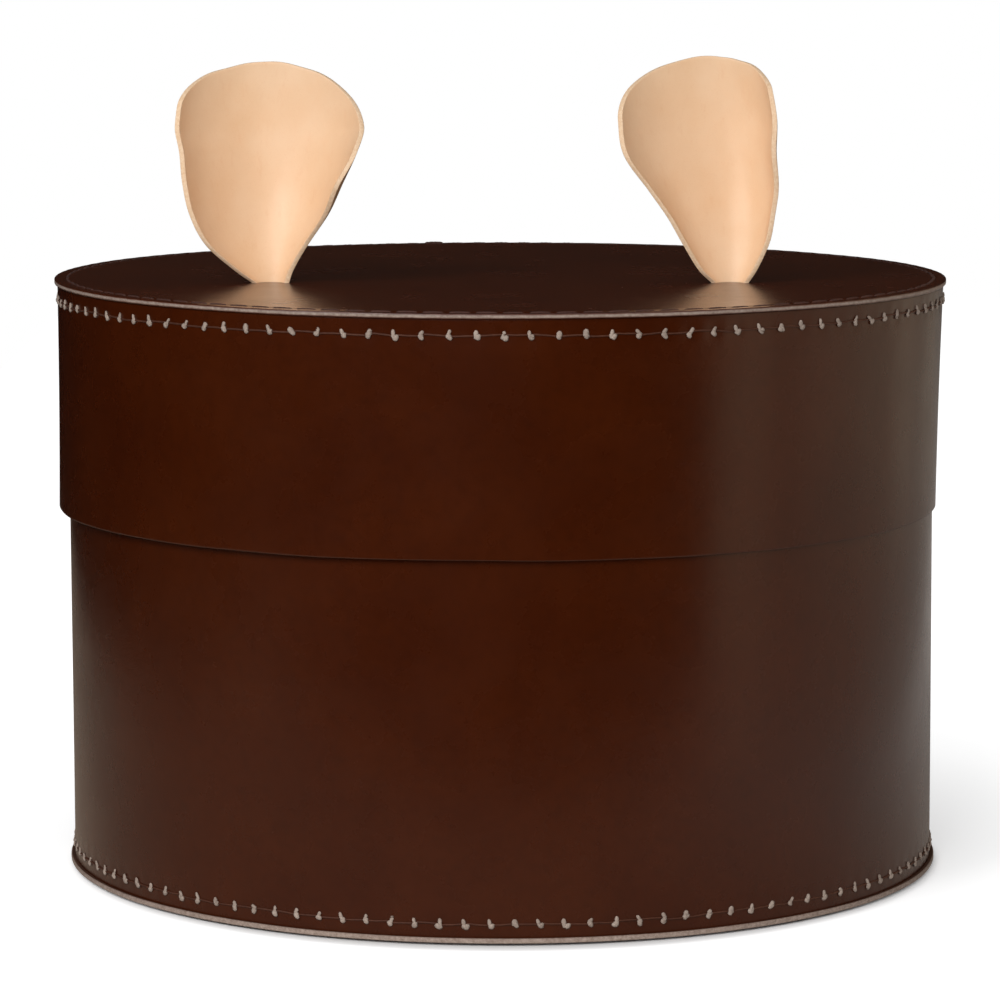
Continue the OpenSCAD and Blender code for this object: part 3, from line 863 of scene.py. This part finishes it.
# How white the camera sees the floor, over its own light, at distances from the middle of the box; the
# low values close round the box's foot are a painted contact shadow
FLOOR_WHITE_AND_CONTACT_SHADE = ((0.1045, 0.0), (0.107, 0.2), (0.1093, 0.56), (0.125, 0.62), (0.18, 0.8), (0.27, 0.97))
FLOOR_REACH = 0.3
# Stretch and shift of that distance, which widen the painted contact shadow at the front and narrow it
# at the sides, most at the left
LIFT_AND_SHADE_SHIFT = (-0.001, 0.002, 0)
LIFT_AND_SHADE_STRETCH = (1.022, 1, 1)
# How strongly the floor glows in the leather's reflections only, at distances to the right: a painted
# reflection that brightens the leather's right side
FLOOR_REFLECTION_GLOW = ((0.05, 0.0), (0.19, 0.25), (0.24, 0.38), (0.33, 0.15), (0.8, 0.09))
SURROUND_R = 2.4
SURROUND_LOW, SURROUND_HIGH = -1.0, 3.4
SURROUND_SIDES = 48
SURROUND_TONE = (0.01, 0.01, 0.01, 1)
WORLD_DIM = 0.1


def stage_piece(name, points, faces, material):
    mesh = bpy.data.meshes.new(name)
    mesh.from_pydata(points, [], faces)
    mesh.materials.append(material)
    thing = bpy.data.objects.new(name, mesh)
    bpy.context.collection.objects.link(thing)
    return thing


def floor():
    """A pale table top; what the camera sees of it is lifted to white, its shadow kept, and darkened
    round the box's foot by a painted contact shadow. In the leather's reflections it shows a warmer,
    darker painted tone and, to the right, a painted glow.
    """
    n = Nodes("floor")
    path = n.node("ShaderNodeLightPath")
    camera_ray, glossy_ray = path.outputs["Is Camera Ray"], path.outputs["Is Glossy Ray"]
    diffuse = n.node("ShaderNodeBsdfDiffuse")
    # Painted reflection: the floor takes a warmer, darker tone where the leather reflects it
    n.link(n.mix(FLOOR_TONE, FLOOR_TONE_IN_REFLECTIONS, glossy_ray), diffuse.inputs["Color"])
    away = n.node("ShaderNodeVectorMath")
    away.operation = "LENGTH"
    n.link(n.stretched(LIFT_AND_SHADE_STRETCH, LIFT_AND_SHADE_SHIFT), away.inputs[0])
    share = n.math("DIVIDE", away.outputs["Value"], FLOOR_REACH)
    # Low near the box's foot: a painted contact shadow on the floor, seen by the camera only
    lift = n.ramp(share, [(r / FLOOR_REACH, value) for r, value in FLOOR_WHITE_AND_CONTACT_SHADE])
    across = n.node("ShaderNodeSeparateXYZ")
    n.link(n.place, across.inputs[0])
    # Painted reflection: the floor glows for glossy rays only, brighter to the right
    painted_reflection_glow = n.ramp(across.outputs["X"], FLOOR_REFLECTION_GLOW)
    seen, glow_in_reflections = n.math("MULTIPLY", camera_ray, lift), n.math("MULTIPLY", glossy_ray, painted_reflection_glow)
    glow = n.node("ShaderNodeEmission")
    n.link(n.math("ADD", seen, glow_in_reflections), glow.inputs["Strength"])
    add = n.node("ShaderNodeAddShader")
    n.link(diffuse.outputs[0], add.inputs[0])
    n.link(glow.outputs[0], add.inputs[1])
    n.link(add.outputs[0], n.output.inputs["Surface"])
    n.tree.nodes.remove(n.shader)
    stage_piece("floor", [(x, y, 0) for x, y in FLOOR_CORNERS], [range(len(FLOOR_CORNERS))], n.material)


def surround():
    """A dark round wall that only the gloss of the leather sees, as in an unlit room."""
    n = Nodes("surround")
    n.shader.inputs["Base Color"].default_value = SURROUND_TONE
    n.shader.inputs["Roughness"].default_value = 1.0
    turn = [TURN * i / SURROUND_SIDES for i in range(SURROUND_SIDES)]
    ring = [(SURROUND_R * math.cos(a), SURROUND_R * math.sin(a)) for a in turn]
    points = [(x, y, z) for z in (SURROUND_LOW, SURROUND_HIGH) for x, y in ring]
    faces = []
    for i in range(SURROUND_SIDES):
        j = (i + 1) % SURROUND_SIDES
        faces.append((i, j, SURROUND_SIDES + j, SURROUND_SIDES + i))
    faces.append(tuple(range(SURROUND_SIDES)))
    wall = stage_piece("surround", points, faces, n.material)
    wall.visible_camera = False
    wall.visible_diffuse = False
    wall.visible_shadow = False


def world():
    """White behind the object and in what it reflects, dim as a light."""
    w = bpy.data.worlds.new("studio")
    w.use_nodes = True
    bpy.context.scene.world = w
    tree = w.node_tree
    back = tree.nodes["Background"]
    back.inputs["Color"].default_value = (1, 1, 1, 1)
    path = tree.nodes.new("ShaderNodeLightPath")
    seen = path.outputs["Is Camera Ray"]
    for ray in ("Is Glossy Ray", "Is Transmission Ray"):
        higher = tree.nodes.new("ShaderNodeMath")
        higher.operation = "MAXIMUM"
        tree.links.new(seen, higher.inputs[0])
        tree.links.new(path.outputs[ray], higher.inputs[1])
        seen = higher.outputs[0]
    span = tree.nodes.new("ShaderNodeMapRange")
    span.inputs["To Min"].default_value = WORLD_DIM
    tree.links.new(seen, span.inputs["Value"])
    tree.links.new(span.outputs["Result"], back.inputs["Strength"])


# Lights: name, azimuth, elevation, distance, size, power, the rays that see it and its tint
WHITE = (1, 1, 1)
WARM = (1, 0.8, 0.56)
LIGHTS = (
    ("key_right", -20, 30, 1.3, (0.6, 0.6), 4.4, "both", WHITE),
    ("key_left", -42, 30, 1.3, (0.6, 0.6), 5.6, "both", WHITE),
    ("front_fill", 0, 15, 1.0, (0.5, 0.5), 3.5, "diffuse", WHITE),
    ("right_fill", 60, 20, 1.0, (0.5, 0.5), 1.0, "diffuse", WHITE),
    ("back_haze", 180, 10, 1.6, (1.6, 0.5), 0.024, "glossy", WARM),
)
# Upright strips on the right, azimuth and power
STRIPS = ((60, 0.7), (72, 0.25), (86, 0.46), (102, 0.43), (120, 0.38), (140, 0.14))
STRIP_AWAY, STRIP_SIZE, STRIP_HEIGHT = 0.75, (0.2, 0.9), 0.3
AIM_HEIGHT = 0.1
CLIP_START = 0.05


def softbox(name, azimuth, elevation, distance, size, power, rays, tint, height=AIM_HEIGHT):
    """A square-on soft light; azimuth 0 is in front of the box and 90 at its right."""
    a, e = math.radians(azimuth), math.radians(elevation)
    target = Vector((0, 0, height))
    away = Vector((math.sin(a) * math.cos(e), -math.cos(a) * math.cos(e), math.sin(e)))
    place = target + distance * away
    lamp = bpy.data.lights.new(name, "AREA")
    lamp.shape = "RECTANGLE"
    lamp.size, lamp.size_y = size
    lamp.energy = power
    lamp.color = tint
    thing = bpy.data.objects.new(name, lamp)
    thing.location = place
    thing.rotation_euler = (target - place).to_track_quat("-Z", "Y").to_euler()
    thing.visible_camera = False
    thing.visible_diffuse = rays != "glossy"
    thing.visible_glossy = rays != "diffuse"
    bpy.context.collection.objects.link(thing)


def camera():
    data = bpy.data.cameras.new("camera")
    data.sensor_width = SENSOR
    data.lens = FOCAL_PX * SENSOR / FRAME_PX
    data.clip_start = CLIP_START
    thing = bpy.data.objects.new("camera", data)
    pitch = math.radians(CAMERA_PITCH)
    ahead = Vector((0, math.cos(pitch), -math.sin(pitch)))
    right = Vector((1, 0, 0))
    turn = Matrix((right, right.cross(ahead), -ahead)).transposed().to_4x4()
    thing.matrix_world = Matrix.Translation((CAMERA_SIDE, -CAMERA_BACK, CAMERA_UP)) @ turn
    bpy.context.collection.objects.link(thing)
    bpy.context.scene.camera = thing


floor()
surround()
world()
camera()
for light in LIGHTS:
    softbox(*light)
for azimuth, power in STRIPS:
    softbox(f"right_{azimuth}", azimuth, 0, STRIP_AWAY, STRIP_SIZE, power, "glossy", WARM, STRIP_HEIGHT)
bpy.context.scene.view_settings.view_transform = "Standard"
